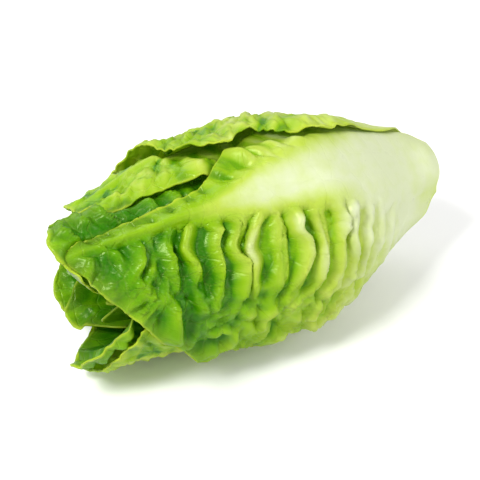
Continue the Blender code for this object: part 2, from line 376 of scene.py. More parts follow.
class HeadForm:
    """The form of the whole head: where a place on it lies, and the room that each leaf has."""

    def __init__(self, leaves: tuple[Leaf, ...], rows: int = 158, columns: int = 144) -> None:
        """Finds the head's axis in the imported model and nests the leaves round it.

        Args:
            leaves: from the heart outwards.
            rows, columns: steps of the grid along and round the head.
        """
        low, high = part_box("stem_core")
        self.butt = high.x
        self.axis_y = (low.y + high.y) / 2
        self.axis_z = (low.z + high.z) / 2
        self.stations = np.linspace(0.0, LONGEST, rows)
        self.bearings = np.radians(np.arange(columns) * 360 / columns)
        self.faces: dict[str, Grid] = {}
        self.shown: dict[str, Grid] = {}
        self.nest(leaves)

    def flattening(self, distance: Grid, bearing: Grid) -> Grid:
        """How much the radius shrinks where the head rests, so that its underside is flat."""
        downward = np.maximum(-np.sin(bearing), 0.0)
        limit = self.axis_z / spline(ENVELOPE, distance)
        return (1 + (downward / limit) ** SQUARENESS) ** (-1 / SQUARENESS)

    def place(self, distance: Grid, bearing: Grid, radius: Grid) -> Grid:
        """Points at a distance from the butt, a bearing round the head in radians and a radius."""
        flat = radius * self.flattening(distance, bearing)
        return np.stack([self.butt - distance, self.axis_y - flat * np.cos(bearing),
                         self.axis_z + flat * np.sin(bearing)], -1)

    @staticmethod
    def neighbours(values: Grid) -> list[Grid]:
        """The grid and its copies moved one cell each way. It closes round the head."""
        return [values, np.roll(values, 1, 1), np.roll(values, -1, 1),
                np.vstack([values[:1], values[:-1]]), np.vstack([values[1:], values[-1:]])]

    def blurred(self, values: Grid, times: int) -> Grid:
        """The grid smoothed over a few cells."""
        for _ in range(times):
            values = sum(self.neighbours(values)) / 5
        return values

    def eased(self, values: Grid) -> Grid:
        """A smooth surface that hardly dips below values."""
        soft = self.blurred(values, 10)
        lack = np.maximum(values - soft, 0)
        for _ in range(4):
            lack = np.maximum.reduce(self.neighbours(lack))
        return soft + self.blurred(lack, 10)

    def nest(self, leaves: tuple[Leaf, ...]) -> None:
        """Works out, for each leaf, the radius of its inner face and where no other leaf covers it.

        Args:
            leaves: from the heart outwards.
        """
        distance, bearing = np.meshgrid(self.stations, self.bearings, indexing="ij")
        filled = np.where(distance < CORE[-1][0], spline(CORE, distance) + CORE_CLEARANCE, 0.0)
        covers = {}
        for leaf in leaves:
            gap = GAP_AT_CORE + GAP_GROWTH * filled
            face = self.eased(np.maximum(filled + gap, leaf.lie * spline(ENVELOPE, distance)))
            u, v = leaf.find(distance, bearing)
            on_leaf = (np.abs(u) < OVERLAP) & (distance > leaf.base - 0.0025) & (v < 1.05)
            top = face + leaf.thickness(np.clip(u, -1, 1), np.clip(v, 0, 1))
            filled = np.where(on_leaf, top, filled)
            self.faces[leaf.name] = face
            covers[leaf.name] = (np.abs(u) < 1.0) & (v > 0) & (v < 1.0)
        over = np.zeros(distance.shape)
        for leaf in reversed(leaves):
            self.shown[leaf.name] = 1 - ramp(self.blurred(over, 9), 0.25, 0.75)
            over = np.maximum(over, covers[leaf.name])

    def read(self, values: Grid, distance: Grid, bearing: Grid) -> Grid:
        """The value on the grid at any place, on smooth curves through the points round it."""
        row = np.clip(distance / self.stations[1], 1, len(self.stations) - 2.001)
        column = (bearing / self.bearings[1]) % len(self.bearings)
        i, j = row.astype(int), column.astype(int)
        a, b = row - i, column - j
        total = np.zeros(row.shape)
        for m, across in enumerate(self.taps(a)):
            for n, along in enumerate(self.taps(b)):
                total += values[i + m - 1, (j + n - 1) % len(self.bearings)] * across * along
        return total

    @staticmethod
    def taps(t: Grid) -> tuple[Grid, ...]:
        """Shares of the four grid points round a place that lies t of the way between the middle two."""
        return ((-t + 2 * t ** 2 - t ** 3) / 2, (2 - 5 * t ** 2 + 3 * t ** 3) / 2,
                (t + 4 * t ** 2 - 3 * t ** 3) / 2, (-t ** 2 + t ** 3) / 2)


@dataclass
class Relief:
    """What stands out from a leaf's smooth surface, and what its colour follows."""

    height: Grid        # metres outwards
    # painted shade: 1 at the bottom of a fold, where the colour is drawn a darker green
    painted_fold_shade: Grid        # 1 at the bottom of a fold
    level: Grid         # 0 in the hollows, 1 on the crests
    start: Grid         # 0 on the rib and at the foot, 1 on the blade
    swing: Grid         # how far the crests hang over towards the butt, for each unit of height


class LeafMaker:
    """Builds the mesh of one leaf on the form of the head."""

    def __init__(self, leaf: Leaf, form: HeadForm) -> None:
        """Keeps the leaf's plan and the head's form.

        Args:
            leaf: the plan.
            form: the nested head.
        """
        self.leaf = leaf
        self.form = form

    def radius(self, u: Grid, v: Grid) -> Grid:
        """Radius that the leaf lies at, before the nesting."""
        return self.leaf.lie * spline(ENVELOPE, self.leaf.distance(u, v))

    def arc(self, u: Grid, v: Grid) -> Grid:
        """Length round the head from the rib to a place on the leaf, negative below the rib."""
        return np.radians(self.leaf.turn(u, v)) * self.radius(u, v)

    def rib_edge(self, u: Grid, v: Grid) -> Grid:
        """Length round the head from the middle of the rib to its edge."""
        return np.radians(self.leaf.rib_width(u, self.leaf.distance(u, v))) * self.radius(u, v)

    def half(self, u: Grid, v: Grid) -> Grid:
        """Length round the head from the rib to the margin."""
        return np.radians(self.leaf.side(u, v)) * self.radius(u, v)

    def inside(self, u: Grid, v: Grid) -> Grid:
        """Distance from the nearest margin."""
        return np.minimum((1 - np.abs(u)) * self.half(u, v), (1 - v) * self.leaf.reach(u))

    def smooth_point(self, u: Grid, v: Grid, lift: Grid) -> Grid:
        """Points on the leaf before its relief and its turned margins, raised by lift."""
        leaf, form = self.leaf, self.form
        distance = leaf.distance(u, v)
        bearing = np.radians(leaf.bearing + leaf.turn(u, v))
        radius = form.read(form.faces[leaf.name], distance, bearing)
        outer = spline(ENVELOPE, distance)
        closing = 1 + DRAW_IN * ramp(distance, *DRAW_IN_OVER)
        radius = outer * np.minimum(radius / outer, 1) ** closing + np.maximum(radius - outer, 0)
        return form.place(distance, bearing, radius + lift)

    def shown(self, u: Grid, v: Grid) -> Grid:
        """1 where nothing covers the leaf, 0 where other leaves lie over it."""
        leaf, form = self.leaf, self.form
        bearing = np.radians(leaf.bearing + leaf.turn(u, v))
        return np.clip(form.read(form.shown[leaf.name], leaf.distance(u, v), bearing), 0, 1)

    def frill(self, margin: Margin, inside: Grid, run: Grid, seed: int) -> Grid:
        """Height of the frill of one margin.

        Args:
            margin: how it stands.
            inside: distance from the margin.
            run: distance along it.
            seed: picks its waves.

        Returns:
            How far it lifts the blade.
        """
        seed = self.leaf.seed + seed
        bend = 0.35 * drift(run / 0.019, inside / 0.03, seed)
        waves = drift(run / margin.pitch + bend, inside * 0 + 0.4, seed + 1) \
            + 0.55 * drift(run / (0.46 * margin.pitch) + bend, inside * 0 + 0.4, seed + 2)
        return margin.frill * ramp(inside, 0.015, 0.0) * (0.9 + 1.5 * waves)

    def lift(self, u: Grid, v: Grid) -> Grid:
        """How far the blade swings out: slow waves, the flare of the tip and the frills of the margins."""
        leaf = self.leaf
        along, across = leaf.distance(u, v), self.arc(u, v)
        slow = 0.6 * leaf.fold * (1 + drift(along / 0.034, across / 0.030, leaf.seed))
        slow = slow * ramp(along, 0.02, 0.08) * (0.5 + 0.5 * ramp(along, leaf.tip - 0.08, leaf.tip - 0.03))
        tip = leaf.flare * ramp(along, leaf.tip - 0.045, leaf.tip) ** 1.5
        low = self.frill(leaf.lower, (1 + u) * self.half(u, v), along, 30)
        high = self.frill(leaf.upper, (1 - u) * self.half(u, v), along, 34)
        end = self.frill(leaf.end, (1 - v) * leaf.reach(u), across, 38)
        return slow + tip + (low + high) * ramp(along, 0.030, 0.070) + end

    def relief(self, u: Grid, v: Grid) -> Relief:
        """Pleats beside the rib, which break up into blisters towards the margin and the tip."""
        leaf = self.leaf
        along, across = leaf.distance(u, v), self.arc(u, v)
        out = np.abs(across) - self.rib_edge(u, v)
        sway = 0.0040 * drift(along / 0.024, across / 0.021, leaf.seed + 5)
        sway_fine = 0.0010 * drift(along / 0.009, across / 0.008, leaf.seed + 6)
        slant = np.where(u < 0, leaf.slant_below, leaf.slant_above)
        a = along - slant * np.abs(across) + sway + sway_fine
        b = across + 0.004 * drift(along / 0.016, across / 0.02, leaf.seed + 7)
        folds, swing = self.pleats(a, b)
        blisters = self.blisters(a, b)
        fine = np.abs(drift(a / 0.0036, b / 0.0048, leaf.seed + 14))
        wrinkle = ridges(a / 0.0100, b / 0.014, 3.0, 2, leaf.seed + 15)

        near, far = BLISTERED_TIP
        loose = ramp(out, *PLEATS_END) + ramp(along, leaf.tip - near, leaf.tip - far)
        loose = np.clip(loose + 0.35 * drift(along / 0.02, across / 0.02, leaf.seed + 16), 0, 1)
        ragged = 0.0030 * drift(a / 0.006, b / 0.012, leaf.seed + 17)
        sunk = ramp(along, *RIB_SINKS)
        start = ramp(out + ragged, 0.0, 0.0055 - 0.0030 * sunk)
        grown = ramp(along, *PLEATS_GROW)
        level = folds * (1 - loose) + blisters * loose
        level = (RIB_LEVEL[0] - RIB_LEVEL[1] * sunk) * (1 - start) + level * start
        tall = leaf.pleat * (1 - loose * start) + leaf.blister * loose * start
        small = FINE_HEIGHT * fine + WRINKLE_HEIGHT * wrinkle * (0.5 + 0.5 * loose)
        height = grown * (tall * level + start * small)
        calm = 0.55 + 0.45 * ramp(self.inside(u, v), 0, CALM_MARGIN)
        height = height * np.where(u < 0, 1.0, 1 + (leaf.calm_above - 1) * start) * calm
        # painted shade: 1 in the hollows between the pleats, where the leaf's colour is drawn darker
        painted_hollow_shade = grown * start * ramp(level, 0.42, 0.04)
        keel = ramp(np.abs(across - 0.002), 0.0070, 0.0) * ramp(along, 0.03, 0.09)
        height = height + KEEL_HEIGHT * keel * (1 - ramp(along, 0.13, 0.17))
        line = np.exp(-(across / LINE_WIDTH) ** 2) * ramp(along, 0.10, 0.135)
        line = line * (1 - ramp(along, leaf.tip - 0.015, leaf.tip))
        height = height + LINE_HEIGHT * line
        return Relief(height, painted_hollow_shade, level, grown * start, swing * (1 - loose) + 0.35 * loose)

    def pleats(self, a: Grid, b: Grid) -> tuple[Grid, Grid]:
        """Tall folds side by side, each of its own height, which sway and here and there part in two.

        Args:
            a: place across the folds.
            b: place along them.

        Returns:
            Their height, 0 to 1, and how far their crests hang over to the side for each unit of height.
        """
        seed = self.leaf.seed + 50
        phase = a / PLEAT_PITCH
        row = np.floor(phase)
        t = (phase - row) ** 0.85
        apart = ramp(drift(row + 0.5, b / 0.017, seed), 0.05, 0.55)
        crest = (0.5 - 0.5 * np.cos(2 * np.pi * t)) ** 1.7
        crest = crest * (1 - 0.55 * apart * np.exp(-((t - 0.47) / 0.13) ** 2))
        own = 0.62 + 0.38 * random_at(row.astype(np.int64), np.zeros(row.shape, np.int64), seed + 1)
        size = np.clip(own * (1 + 0.55 * drift(row + 0.5, b / 0.015, seed + 2)), 0.2, 1.15)
        swing = np.clip(0.30 + 0.90 * drift(row + 0.5, b / 0.0125, seed + 3), -0.6, 0.75)
        small = ridges(a / 0.0046, b / 0.0150, 1.9, 1.4, seed + 4)
        return np.clip(crest * size + 0.20 * small - 0.04, 0, 1.1), swing

    def blisters(self, a: Grid, b: Grid) -> Grid:
        """Puckered blade: sharp little ridges with hollows and bulges between them, 0 to 1."""
        seed = self.leaf.seed + 60
        large = ridges(a / 0.0120, b / 0.0150, 2.0, 1.3, seed)
        small = ridges(a / 0.0062, b / 0.0080, 1.9, 1.3, seed + 2)
        bulges = np.clip(1.6 * np.abs(drift(a / 0.0105, b / 0.0120, seed + 1)), 0, 1) ** 0.8
        return np.clip(0.55 * large + 0.24 * small + 0.32 * bulges, 0, 1)

    def turned(self, u: Grid, v: Grid) -> tuple[Grid, Grid, Grid]:
        """How far past the line where it turns back each place is, at its nearer side margin and at its end.

        Returns:
            The strip at the side margin in u, the strip at the end in v, and the radius that they turn on.
        """
        leaf = self.leaf
        along = leaf.distance(u, v)
        across = self.arc(u, v)
        strips = []
        for margin, seed in ((leaf.lower, 17), (leaf.upper, 18)):
            spell = drift(along / margin.spell, np.zeros_like(along) + 0.37, leaf.seed + seed)
            strips.append(margin.strip * np.clip(spell + margin.share, 0, 1) * ramp(along, 0.02, 0.05))
        strip = np.where(u < 0, strips[0], strips[1]) / np.maximum(self.half(u, v), NARROWEST)
        spell = drift(across / leaf.end.spell, np.zeros_like(across) + 0.61, leaf.seed + 19)
        end = leaf.end.strip * np.clip(spell + leaf.end.share, 0, 1) / leaf.reach(u)
        radius = np.where(u < 0, leaf.lower.radius, leaf.upper.radius)
        return np.minimum(strip, WIDEST_STRIP), end, radius

    def points(self, u: Grid, v: Grid) -> tuple[Grid, Relief]:
        """The inner face of the leaf, with its relief and its turned margins.

        Returns:
            The points, and the relief that they stand in.
        """
        leaf = self.leaf
        shown = self.shown(u, v)
        strip, end, radius = self.turned(u, v)
        strip, end = strip * shown, end * shown
        u_line = np.clip(u, -(1 - strip), 1 - strip)
        v_line = np.minimum(v, 1 - end)
        lift = self.lift(u_line, v_line) * shown
        at, slopes = self.smooth_point(u_line, v_line, lift), []
        for du, dv in ((STEP, 0), (0, STEP)):
            after = self.smooth_point(u_line + du, v_line + dv, lift)
            before = self.smooth_point(u_line - du, v_line - dv, lift)
            slopes.append(self.unit(after - before))
        along_u, along_v = slopes
        out = self.unit(np.cross(along_v, along_u))
        middle = self.form.place(leaf.distance(u_line, v_line), np.zeros_like(u), np.zeros_like(u))
        out = out * np.sign(np.sum(out * (at - middle), -1, keepdims=True))

        past_u, past_v = (u - u_line) * self.half(u, v), (v - v_line) * leaf.reach(u)
        swing_u, swing_v = past_u / radius, past_v / leaf.end.radius
        spot = at + along_u * (radius * np.sin(swing_u))[..., None] \
            + along_v * (leaf.end.radius * np.sin(swing_v))[..., None] \
            + out * (radius * (1 - np.cos(swing_u)) + leaf.end.radius * (1 - np.cos(swing_v)))[..., None]
        facing = out * (np.cos(swing_u) * np.cos(swing_v))[..., None] \
            - along_u * np.sin(swing_u)[..., None] - along_v * np.sin(swing_v)[..., None]

        relief = self.relief(u, v)
        free = ramp(spot[..., 2], 0.0010, 0.0090)
        room = shown * free
        height = relief.height * (0.10 + 0.90 * room)
        lean = relief.swing * relief.start * relief.height * room
        spot = spot + facing * height[..., None] - along_v * lean[..., None]
        depth = leaf.thickness(np.clip(u, -1, 1), np.clip(v, 0, 1))
        floor = FLOOR_CLEARANCE + depth + FLOOR_SPREAD * np.maximum(spot[..., 2], 0)
        spot[..., 2] = np.maximum(spot[..., 2], floor)
        return spot, relief

    @staticmethod
    def unit(vectors: Grid) -> Grid:
        """The vectors, each at length 1."""
        return vectors / np.linalg.norm(vectors, axis=-1, keepdims=True)

    def outline(self, u: Grid, v: Grid) -> tuple[Grid, Grid]:
        """Draws the even edge of the leaf in and out, so that it is lobed and finely toothed."""
        leaf = self.leaf
        along, across = leaf.distance(u, v), self.arc(u, v)
        side = np.where(u < 0, -1.0, 1.0)
        lobe = np.where(u < 0, leaf.lower.lobe, leaf.upper.lobe)
        swing = lobe * drift(along / 0.026, side, leaf.seed + 21) \
            + 0.0009 * drift(along / 0.0075, side, leaf.seed + 22) \
            + 0.0002 * drift(along / 0.0026, side, leaf.seed + 23)
        wide = 1 + swing * ramp(along, 0.03, 0.08) / np.maximum(self.half(u, v), NARROWEST)
        swing = leaf.end.lobe * drift(across / 0.020, side * 0, leaf.seed + 24) \
            + 0.0010 * drift(across / 0.0060, side * 0, leaf.seed + 25)
        long = 1 + swing / leaf.reach(u)
        return u * (1 + (wide - 1) * np.abs(u) ** 3), v * (1 + (long - 1) * v ** 3)

    def colour_place(self, u: Grid, v: Grid, relief: Relief) -> Grid:
        """How green each place is: 0 for the cream of the rib and foot, 1 for the deep green of the blade. It
        also carries painted shade in the pleats' hollows and paler painted light on their crests.
        """
        leaf = self.leaf
        along, across = leaf.distance(u, v), self.arc(u, v)
        rib_edge = self.rib_edge(u, v)
        start, full = leaf.green
        blade = np.clip((along - start) / (full - start), 0, 1)
        blade = blade + 0.16 * drift(along / 0.03, across / 0.03, leaf.seed + 25)
        # painted shade and painted highlight: the pleats' hollows are drawn greener and darker, their crests
        # paler
        painted_relief_shading = 0.46 * np.where(u < 0, 1.0, leaf.calm_above)
        blade = blade + painted_relief_shading * relief.start * (0.42 - relief.level)
        blade = blade + 0.14 * ramp(np.abs(across) - rib_edge, 0.010, 0.040) * ramp(along, 0.03, 0.07)
        rib = ramp(np.abs(across), rib_edge + 0.0030, rib_edge * 0.4 - 0.001)
        return np.clip(blade * (1 - rib * (0.88 - 0.64 * ramp(along, 0.092, 0.142))), 0, 1)

    def build(self) -> bpy.types.Object:
        """The finished leaf: a flat grid bent onto its place in the head, then given its thickness.

        Returns:
            The leaf as an object at the origin, still without a material.
        """
        leaf = self.leaf
        shape = bmesh.new()
        bmesh.ops.create_grid(shape, x_segments=leaf.across, y_segments=leaf.along, size=1.0)
        shape.verts.ensure_lookup_table()
        flat = np.array([vert.co for vert in shape.verts])
        u, v = flat[:, 0], ((flat[:, 1] + 1) / 2) ** 1.15
        u, v = self.outline(u, v)
        points, relief = self.points(u, v)
        for vert, point in zip(shape.verts, points):
            vert.co = point
        if self.faces_in(shape):
            bmesh.ops.reverse_faces(shape, faces=shape.faces)
        places = shape.loops.layers.uv.new("leaf_place")
        mapped = np.stack([self.arc(u, v) / UV_SPAN + 0.5, leaf.distance(u, v) / UV_SPAN], -1)
        for face in shape.faces:
            for loop in face.loops:
                loop[places].uv = mapped[loop.vert.index]
        mesh = as_mesh(shape, leaf.name)
        mesh.shade_smooth()
        edge = self.inside(u, v)
        self.note(mesh, "green", self.colour_place(u, v, relief))
        # painted shade in the hollows of the folds, for the material to darken
        self.note(mesh, "painted_fold_shade", relief.painted_fold_shade)
        self.note(mesh, "edge", np.maximum(ramp(edge, 0.0020, 0.0), 0.30 * ramp(edge, 0.0120, 0.0)))
        # painted shade: 1 where other leaves lie over this one, for the material to darken
        self.note(mesh, "depth", 1 - self.shown(u, v))
        made = placed(leaf.name + "_blade", mesh)
        self.thicken(made, leaf.thickness(np.clip(u, -1, 1), np.clip(v, 0, 1)))
        return made

    def faces_in(self, shape: bmesh.types.BMesh) -> bool:
        """Whether the faces point at the head's axis and not away from it."""
        shape.normal_update()
        total = 0.0
        for face in shape.faces:
            centre = face.calc_center_median()
            total += face.normal.y * (centre.y - self.form.axis_y)
            total += face.normal.z * (centre.z - self.form.axis_z)
        return total < 0

    @staticmethod
    def note(mesh: bpy.types.Mesh, name: str, values: Grid) -> None:
        """Stores one number for each vertex, which the leaf's material reads by name."""
        mesh.attributes.new(name, "FLOAT", "POINT").data.foreach_set("value", values.astype(np.float32))

    def thicken(self, made: bpy.types.Object, depths: Grid) -> None:
        """Gives the blade and the rib their thickness, outwards from the built face."""
        group = made.vertex_groups.new(name="thickness")
        for index, depth in enumerate(depths):
            group.add([index], float(depth / self.leaf.rib), "REPLACE")
        solid = made.modifiers.new("thickness", "SOLIDIFY")
        solid.thickness = self.leaf.rib
        solid.offset = 1.0
        solid.vertex_group = group.name


def linear(red: int, green: int, blue: int) -> tuple[float, float, float, float]:
    """A colour given in everyday 0 to 255 values, as the shader's linear values."""
    def straight(value: int) -> float:
        """One channel."""
        share = value / 255
        return share / 12.92 if share <= 0.04045 else ((share + 0.055) / 1.055) ** 2.4
    return straight(red), straight(green), straight(blue), 1.0


Socket = bpy.types.NodeSocket
Stops = tuple[tuple[float, tuple[int, int, int]], ...]


class Nodes:
    """Short ways to add and join nodes in one node tree."""

    def __init__(self, tree: bpy.types.NodeTree) -> None:
        """Keeps the tree to add to."""
        self.tree = tree

    def add(self, kind: str, **settings: object) -> bpy.types.Node:
        """Adds a node.

        Args:
            kind: its type name.
            settings: its properties.

        Returns:
            The node.
        """
        node = self.tree.nodes.new(kind)
        for name, value in settings.items():
            setattr(node, name, value)
        return node

    def join(self, source: Socket, target: Socket) -> None:
        """Links one socket to another."""
        self.tree.links.new(source, target)

    def feed(self, target: Socket, value: object) -> None:
        """Links a socket to another, or sets it to a value."""
        if isinstance(value, Socket):
            self.join(value, target)
        else:
            target.default_value = value

    def math(self, operation: str, first: object, second: object = 0.5, clamp: bool = False) -> Socket:
        """A math node whose inputs are sockets or numbers.

        Args:
            operation: what it works out.
            first, second: its inputs. Some operations read only the first.
            clamp: keeps the result within 0 to 1.

        Returns:
            Its output.
        """
        node = self.add("ShaderNodeMath", operation=operation, use_clamp=clamp)
        self.feed(node.inputs[0], first)
        self.feed(node.inputs[1], second)
        return node.outputs[0]

    def blend(self, share: object, first: object, second: object, way: str = "MIX") -> Socket:
        """A colour mix whose inputs are sockets or values.

        Args:
            share: how much of the second colour there is.
            first, second: the colours.
            way: how they are mixed.

        Returns:
            Its output.
        """
        node = self.add("ShaderNodeMix", data_type="RGBA", blend_type=way)
        for index, value in ((0, share), (6, first), (7, second)):
            self.feed(node.inputs[index], value)
        return node.outputs[2]

    def ramp(self, share: Socket, stops: Stops) -> Socket:
        """A colour ramp.

        Args:
            share: what it follows.
            stops: each place from 0 to 1 and its colour in everyday 0 to 255 values.

        Returns:
            Its colour.
        """
        node = self.add("ShaderNodeValToRGB")
        band = node.color_ramp
        while len(band.elements) < len(stops):
            band.elements.new(0.5)
        for element, (place, colour) in zip(band.elements, stops):
            element.position = place
            element.color = linear(*colour)
        self.join(share, node.inputs[0])
        return node.outputs[0]

    def noise(self, place: Socket, scale: float, detail: float = 2.0,
              dimensions: str = "2D") -> bpy.types.Node:
        """A noise texture.

        Args:
            place: the coordinates that it reads.
            scale: how many of its patches fit in one unit.
            detail: how finely it is broken up.
            dimensions: of the coordinates.

        Returns:
            The node.
        """
        node = self.add("ShaderNodeTexNoise", noise_dimensions=dimensions)
        node.inputs["Scale"].default_value = scale
        node.inputs["Detail"].default_value = detail
        self.join(place, node.inputs["Vector"])
        return node

    def bump(self, height: Socket, strength: float, distance: float) -> Socket:
        """Fine relief.

        Args:
            height: what it follows.
            strength: 0 to 1.
            distance: how high it stands, in metres.

        Returns:
            The direction of the surface with the relief on it.
        """
        node = self.add("ShaderNodeBump")
        node.inputs["Strength"].default_value = strength
        node.inputs["Distance"].default_value = distance
        self.join(height, node.inputs["Height"])
        return node.outputs["Normal"]


def plain_material(name: str) -> tuple[bpy.types.Material, Nodes, bpy.types.Node]:
    """A new material, its nodes and its main shader."""
    made = bpy.data.materials.new(name)
    made.use_nodes = True
    return made, Nodes(made.node_tree), made.node_tree.nodes["Principled BSDF"]


# Colours of the blade by how green it is, seen in front light and with light coming through it.
BLADE_COLOURS: Stops = (
    (0.00, (232, 238, 204)), (0.14, (222, 233, 164)), (0.34, (200, 221, 84)),
    (0.60, (156, 202, 18)), (0.82, (108, 174, 0)), (1.00, (60, 138, 0)))
THROUGH_COLOURS: Stops = ((0.0, (226, 234, 180)), (0.4, (196, 220, 30)), (1.0, (120, 190, 0)))
# Colour of the cut stem from its middle outwards.
STEM_COLOURS: Stops = (
    (0.00, (214, 222, 160)), (0.35, (236, 238, 205)), (0.70, (232, 232, 190)),
    (0.84, (206, 188, 130)), (0.93, (222, 214, 160)), (1.00, (236, 238, 205)))


def leaf_tissue_group() -> bpy.types.NodeTree:
    """The surface of a leaf: its colour, with painted shade in the folds and under covering leaves, the
    colour of light through it, its roughness and its fine relief.

    Returns:
        A node group that the three leaf materials share.
    """
    group = bpy.data.node_groups.new("leaf_tissue", "ShaderNodeTree")
    number, colour = "NodeSocketFloat", "NodeSocketColor"
    for name, kind in (("Green", number), ("Deep", colour), ("Light", colour)):
        group.interface.new_socket(name, in_out="INPUT", socket_type=kind)
    for name, kind in (("Colour", colour), ("Through", colour), ("Roughness", number), ("Height", number)):
        group.interface.new_socket(name, in_out="OUTPUT", socket_type=kind)
    nodes = Nodes(group)
    given, made = nodes.add("NodeGroupInput"), nodes.add("NodeGroupOutput")
    green, painted_fold_shade, edge, depth = (
        nodes.add("ShaderNodeAttribute", attribute_name=name).outputs["Fac"]
        for name in ("green", "painted_fold_shade", "edge", "depth"))
    place = nodes.add("ShaderNodeUVMap", uv_map="leaf_place").outputs[0]

    def veins(scale: float, width: float) -> Socket:
        """A net of veins: 1 on a vein and 0 between."""
        bend = nodes.noise(place, scale * 0.7)
        shift = nodes.add("ShaderNodeVectorMath", operation="MULTIPLY_ADD")
        nodes.join(bend.outputs["Color"], shift.inputs[0])
        shift.inputs[1].default_value = (0.9 / scale, 0.9 / scale, 0.0)
        nodes.join(place, shift.inputs[2])
        net = nodes.add("ShaderNodeTexVoronoi", voronoi_dimensions="2D", feature="DISTANCE_TO_EDGE")
        net.inputs["Scale"].default_value = scale
        nodes.join(shift.outputs[0], net.inputs["Vector"])
        return nodes.math("SUBTRACT", 1.0, nodes.math("DIVIDE", net.outputs["Distance"], width, clamp=True))

    coarse, fine = veins(24.0, 0.06), veins(70.0, 0.12)
    mottle = nodes.noise(place, 34.0, 5.0).outputs["Fac"]
    patch = nodes.math("SUBTRACT", mottle, 0.5)

    def times(first: Socket, second: object) -> Socket:
        """The product of a socket and a socket or number."""
        return nodes.math("MULTIPLY", first, second)

    ripe = nodes.math("ADD", times(green, given.outputs["Green"]), times(patch, 0.20))
    # painted shade: the bottoms of the folds are drawn a deeper green
    ripe = nodes.math("ADD", ripe, times(times(painted_fold_shade, green), 0.34), clamp=True)
    shade = nodes.ramp(ripe, BLADE_COLOURS)
    shade = nodes.blend(times(nodes.math("POWER", ripe, 3.0), 0.35), shade, given.outputs["Deep"])
    pale = times(nodes.math("ADD", times(coarse, 0.5), times(fine, 0.3)), times(ripe, 0.16))
    shade = nodes.blend(pale, shade, given.outputs["Light"])
    rim = times(edge, 0.75)
    shade = nodes.blend(rim, shade, linear(196, 214, 60))
    # painted shade: darker green where other leaves lie over the blade
    shade = nodes.blend(times(depth, 0.45), shade, linear(70, 122, 14), "MULTIPLY")
    nodes.join(shade, made.inputs["Colour"])
    through = nodes.ramp(ripe, THROUGH_COLOURS)
    nodes.join(nodes.blend(rim, through, linear(216, 230, 30)), made.inputs["Through"])
    rough = nodes.math("ADD", 0.23, times(mottle, 0.16))
    nodes.join(rough, made.inputs["Roughness"])
    height = nodes.math("ADD", times(coarse, -0.7), times(fine, -0.12))
    height = times(height, nodes.math("ADD", 0.15, times(green, 0.85)))
    height = nodes.math("ADD", height, times(patch, 0.5))
    nodes.join(height, made.inputs["Height"])
    return group


@dataclass(frozen=True)
class LeafFinish:
    """The finish of one sort of leaf."""

    kind: Kind
    green: float                          # share of the full green that it reaches
    deep: tuple[int, int, int]            # its darkest colour
    light: tuple[int, int, int]           # the colour of its veins
    through: float                        # share of the light that comes through the blade
    bump: float                           # strength of the fine relief
    bump_height: float = 0.0006
    shine: float = 0.42
    shine_tint: tuple[float, float, float, float] = (0.86, 1.0, 0.50, 1.0)

    def material(self, tissue: bpy.types.NodeTree) -> bpy.types.Material:
        """Builds the material from the shared leaf tissue.

        Args:
            tissue: the shared node group.

        Returns:
            The material.
        """
        made, nodes, shader = plain_material(self.kind.value)
        surface = nodes.add("ShaderNodeGroup", node_tree=tissue)
        surface.inputs["Green"].default_value = self.green
        surface.inputs["Deep"].default_value = linear(*self.deep)
        surface.inputs["Light"].default_value = linear(*self.light)
        nodes.join(surface.outputs["Colour"], shader.inputs["Base Color"])
        nodes.join(surface.outputs["Roughness"], shader.inputs["Roughness"])
        shader.inputs["Specular IOR Level"].default_value = self.shine
        shader.inputs["Specular Tint"].default_value = self.shine_tint
        normal = nodes.bump(surface.outputs["Height"], self.bump, self.bump_height)
        nodes.join(normal, shader.inputs["Normal"])
        glow = nodes.add("ShaderNodeBsdfTranslucent")
        nodes.join(surface.outputs["Through"], glow.inputs["Color"])
        nodes.join(normal, glow.inputs["Normal"])
        both = nodes.add("ShaderNodeMixShader")
        both.inputs[0].default_value = self.through
        nodes.join(shader.outputs[0], both.inputs[1])
        nodes.join(glow.outputs[0], both.inputs[2])
        nodes.join(both.outputs[0], made.node_tree.nodes["Material Output"].inputs["Surface"])
        return made


FINISHES = {
    Kind.WRAPPER: LeafFinish(Kind.WRAPPER, 1.00, (34, 110, 0), (206, 226, 90), 0.38, 0.55),
    Kind.MIDDLE: LeafFinish(Kind.MIDDLE, 0.95, (44, 120, 0), (206, 226, 90), 0.40, 0.55),
    Kind.HEART: LeafFinish(Kind.HEART, 0.70, (120, 170, 40), (220, 232, 140), 0.42, 0.45),
}


